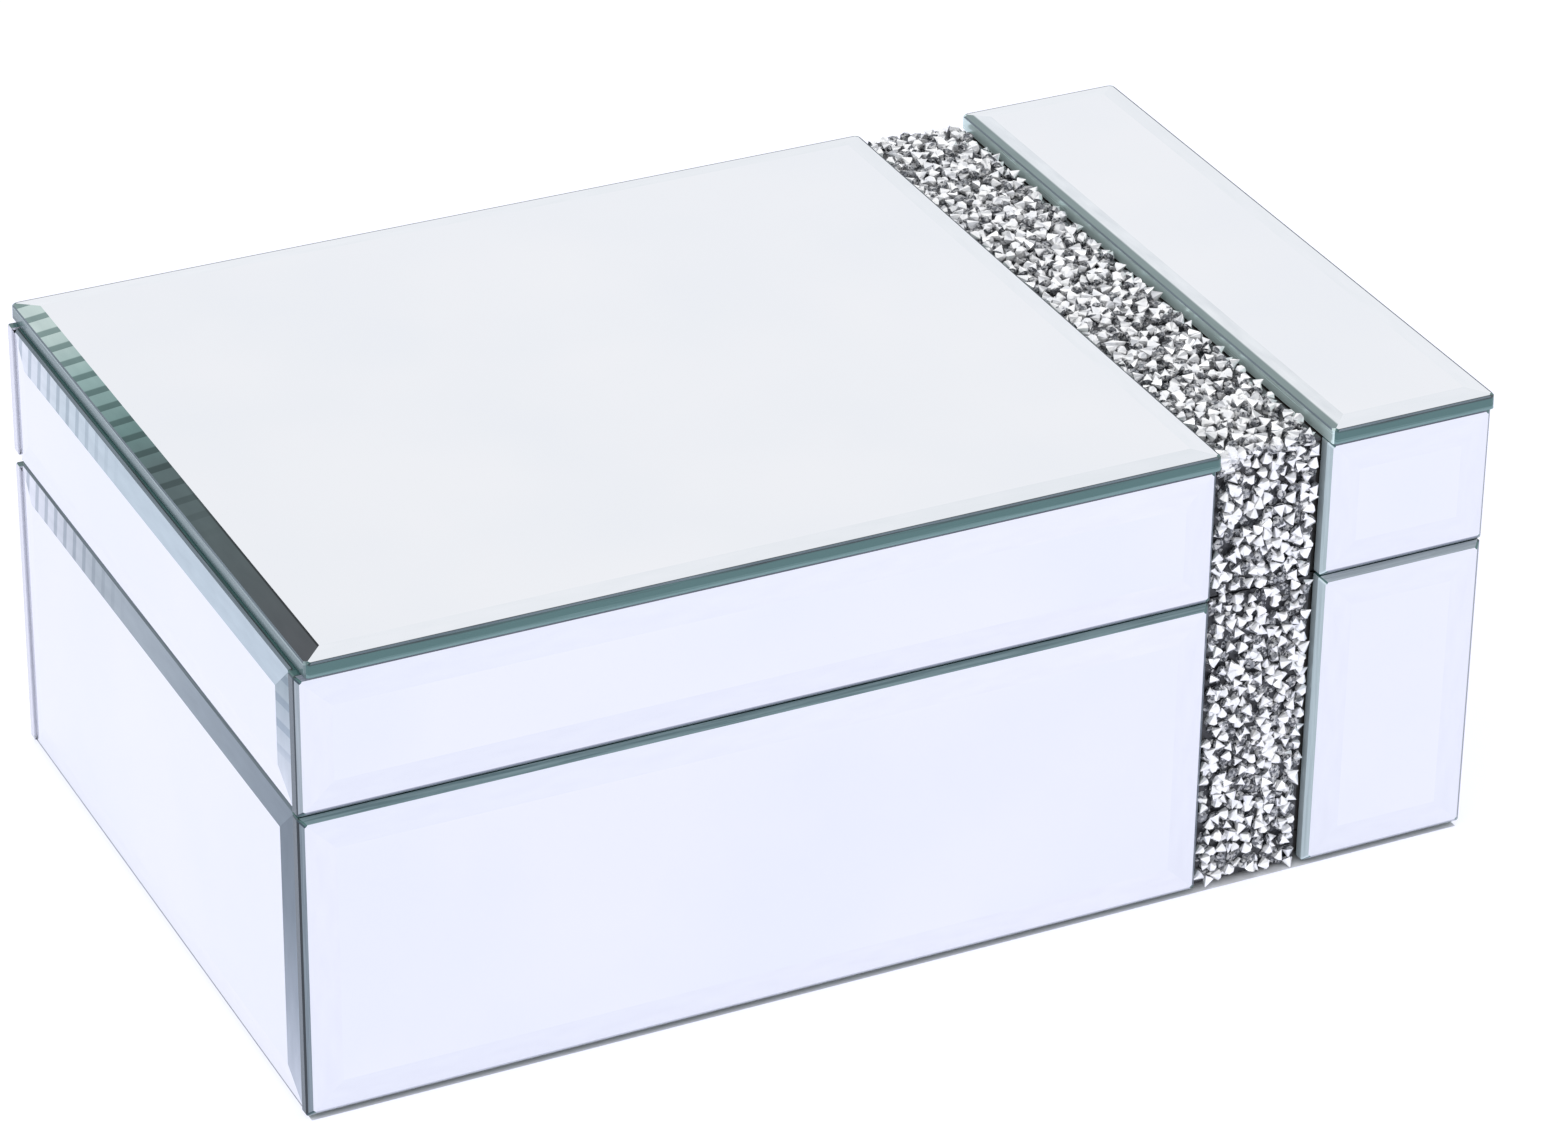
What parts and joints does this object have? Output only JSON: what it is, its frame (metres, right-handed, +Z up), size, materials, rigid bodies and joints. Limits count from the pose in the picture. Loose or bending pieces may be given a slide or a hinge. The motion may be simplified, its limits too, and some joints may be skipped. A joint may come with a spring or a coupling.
{
  "type": "trinket box",
  "caption": "Rectangular trinket box clad in bevelled mirror plates, with a rear-hinged lid, a recessed band of crushed crystals over the lid and front, and a velvet lining.",
  "frame": {"origin": "centre of the bounding box's underside, on the surface the box stands on", "axes": "+X along the box's length towards the end with the crystal band, +Y towards the hinges at the back, +Z up"},
  "size_m": [0.25, 0.1592, 0.0996],
  "materials": {
    "mirror_plate": "silvered float glass with ground and polished bevels",
    "crystal": "foil-backed cut stones, crushed and glued",
    "board": "black-brown painted fibreboard",
    "velvet": "short-pile black velvet",
    "felt": "pressed black felt",
    "hinge_metal": "nickel-plated steel",
    "screw_metal": "nickel-plated steel"
  },
  "bodies": {
    "base": {"board_base_back": "board", "board_base_floor": "board", "board_base_front": "board", "board_base_left": "board", "board_base_right": "board", "crystal_band_base_front": "crystal", "felt_underside": "felt", "hinge_left_base_leaf": "hinge_metal", "hinge_left_pin": "hinge_metal", "hinge_right_base_leaf": "hinge_metal", "hinge_right_pin": "hinge_metal", "mirror_base_back": "mirror_plate", "mirror_base_front_left": "mirror_plate", "mirror_base_front_right": "mirror_plate", "mirror_base_left": "mirror_plate", "mirror_base_right": "mirror_plate", "screw_left_base_1": "screw_metal", "screw_left_base_2": "screw_metal", "screw_right_base_1": "screw_metal", "screw_right_base_2": "screw_metal", "velvet_base_back": "velvet", "velvet_base_front": "velvet", "velvet_base_left": "velvet", "velvet_base_pad": "velvet", "velvet_base_right": "velvet"},
    "lid": {"board_lid_back": "board", "board_lid_front": "board", "board_lid_left": "board", "board_lid_right": "board", "board_lid_top": "board", "crystal_band_lid_front": "crystal", "crystal_band_lid_top": "crystal", "hinge_left_lid_leaf": "hinge_metal", "hinge_right_lid_leaf": "hinge_metal", "mirror_lid_back": "mirror_plate", "mirror_lid_front_left": "mirror_plate", "mirror_lid_front_right": "mirror_plate", "mirror_lid_left": "mirror_plate", "mirror_lid_right": "mirror_plate", "mirror_lid_top_left": "mirror_plate", "mirror_lid_top_right": "mirror_plate", "screw_left_lid_1": "screw_metal", "screw_left_lid_2": "screw_metal", "screw_right_lid_1": "screw_metal", "screw_right_lid_2": "screw_metal", "velvet_lid_back": "velvet", "velvet_lid_front": "velvet", "velvet_lid_left": "velvet", "velvet_lid_pad": "velvet", "velvet_lid_right": "velvet"}
  },
  "joints": [
    {"name": "lid_hinge", "type": "hinge", "parent": "base", "child": "lid", "pos_m": [0, 0.07762, 0.066], "axis": [-1, 0, 0], "range_deg": [0, 100]}
  ]
}
